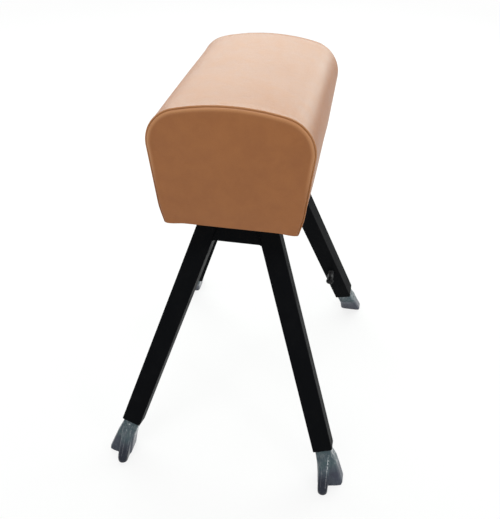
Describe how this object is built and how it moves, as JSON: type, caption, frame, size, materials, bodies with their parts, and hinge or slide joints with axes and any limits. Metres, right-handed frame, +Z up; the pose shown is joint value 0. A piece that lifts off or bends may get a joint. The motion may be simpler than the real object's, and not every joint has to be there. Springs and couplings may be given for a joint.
{
  "type": "vaulting buck",
  "caption": "Padded leather-covered vaulting buck on two splayed A-frames, with telescopic legs, sprung height pins and moulded grey feet.",
  "frame": {"origin": "on the floor, under the middle of the buck", "axes": "+Z up, +Y along the body towards the rear end, +X across to the right"},
  "size_m": [0.6328, 0.862, 0.956],
  "materials": {
    "leather": "natural brown leather, smooth with a fine grain",
    "foam": "layered felt and foam padding",
    "plywood": "sanded birch plywood",
    "black_steel": "satin black powder coat",
    "zinc_steel": "bright zinc plate",
    "bright_steel": "turned and plated steel",
    "nylon": "moulded nylon",
    "grey_rubber": "moulded blue-grey rubber with a soft gloss",
    "black_plastic": "moulded black plastic"
  },
  "bodies": {
    "frame": {"leather_wrap": "leather", "end_panel_front": "leather", "end_panel_rear": "leather", "foam_padding": "foam", "end_pad_front": "foam", "end_pad_rear": "foam", "base_board": "plywood", "core_top": "plywood", "core_side_left": "plywood", "core_side_right": "plywood", "core_end_front": "plywood", "core_end_rear": "plywood", "mounting_plate_front": "black_steel", "crossbar_front": "black_steel", "bolt_front_a": "bright_steel", "bolt_front_b": "bright_steel", "bolt_front_c": "bright_steel", "bolt_front_d": "bright_steel", "mounting_plate_rear": "black_steel", "crossbar_rear": "black_steel", "bolt_rear_a": "bright_steel", "bolt_rear_b": "bright_steel", "bolt_rear_c": "bright_steel", "bolt_rear_d": "bright_steel", "leg_tube_front_left": "black_steel", "guide_sleeve_front_left": "nylon", "lock_barrel_front_left": "black_steel", "lock_spring_front_left": "bright_steel", "leg_tube_front_right": "black_steel", "guide_sleeve_front_right": "nylon", "lock_barrel_front_right": "black_steel", "lock_spring_front_right": "bright_steel", "leg_tube_rear_left": "black_steel", "guide_sleeve_rear_left": "nylon", "lock_barrel_rear_left": "black_steel", "lock_spring_rear_left": "bright_steel", "leg_tube_rear_right": "black_steel", "guide_sleeve_rear_right": "nylon", "lock_barrel_rear_right": "black_steel", "lock_spring_rear_right": "bright_steel"},
    "leg_front_left": {"inner_tube_front_left": "zinc_steel", "tube_glide_front_left": "nylon", "foot_front_left": "grey_rubber"},
    "pin_front_left": {"lock_pin_front_left": "bright_steel", "lock_knob_front_left": "black_plastic"},
    "leg_front_right": {"inner_tube_front_right": "zinc_steel", "tube_glide_front_right": "nylon", "foot_front_right": "grey_rubber"},
    "pin_front_right": {"lock_pin_front_right": "bright_steel", "lock_knob_front_right": "black_plastic"},
    "leg_rear_left": {"inner_tube_rear_left": "zinc_steel", "tube_glide_rear_left": "nylon", "foot_rear_left": "grey_rubber"},
    "pin_rear_left": {"lock_pin_rear_left": "bright_steel", "lock_knob_rear_left": "black_plastic"},
    "leg_rear_right": {"inner_tube_rear_right": "zinc_steel", "tube_glide_rear_right": "nylon", "foot_rear_right": "grey_rubber"},
    "pin_rear_right": {"lock_pin_rear_right": "bright_steel", "lock_knob_rear_right": "black_plastic"}
  },
  "joints": [
    {"name": "height_front_left", "type": "slide", "parent": "frame", "child": "leg_front_left", "axis": [-0.3095, -0.3127, -0.898], "range_m": [0, 0.4454]},
    {"name": "height_front_right", "type": "slide", "parent": "frame", "child": "leg_front_right", "axis": [0.3095, -0.3127, -0.898], "range_m": [0, 0.4454]},
    {"name": "height_rear_left", "type": "slide", "parent": "frame", "child": "leg_rear_left", "axis": [-0.3095, 0.3127, -0.898], "range_m": [0, 0.4454]},
    {"name": "height_rear_right", "type": "slide", "parent": "frame", "child": "leg_rear_right", "axis": [0.3095, 0.3127, -0.898], "range_m": [0, 0.4454]},
    {"name": "lock_pull_front_left", "type": "slide", "parent": "frame", "child": "pin_front_left", "axis": [0, 0.9444, -0.3289], "range_m": [0, 0.01], "stiffness_N_per_m": 800, "springref_m": -0.012, "deforming": ["lock_spring_front_left"]},
    {"name": "lock_pull_front_right", "type": "slide", "parent": "frame", "child": "pin_front_right", "axis": [0, 0.9444, -0.3289], "range_m": [0, 0.01], "stiffness_N_per_m": 800, "springref_m": -0.012, "deforming": ["lock_spring_front_right"]},
    {"name": "lock_pull_rear_left", "type": "slide", "parent": "frame", "child": "pin_rear_left", "axis": [0, -0.9444, -0.3289], "range_m": [0, 0.01], "stiffness_N_per_m": 800, "springref_m": -0.012, "deforming": ["lock_spring_rear_left"]},
    {"name": "lock_pull_rear_right", "type": "slide", "parent": "frame", "child": "pin_rear_right", "axis": [0, -0.9444, -0.3289], "range_m": [0, 0.01], "stiffness_N_per_m": 800, "springref_m": -0.012, "deforming": ["lock_spring_rear_right"]}
  ]
}
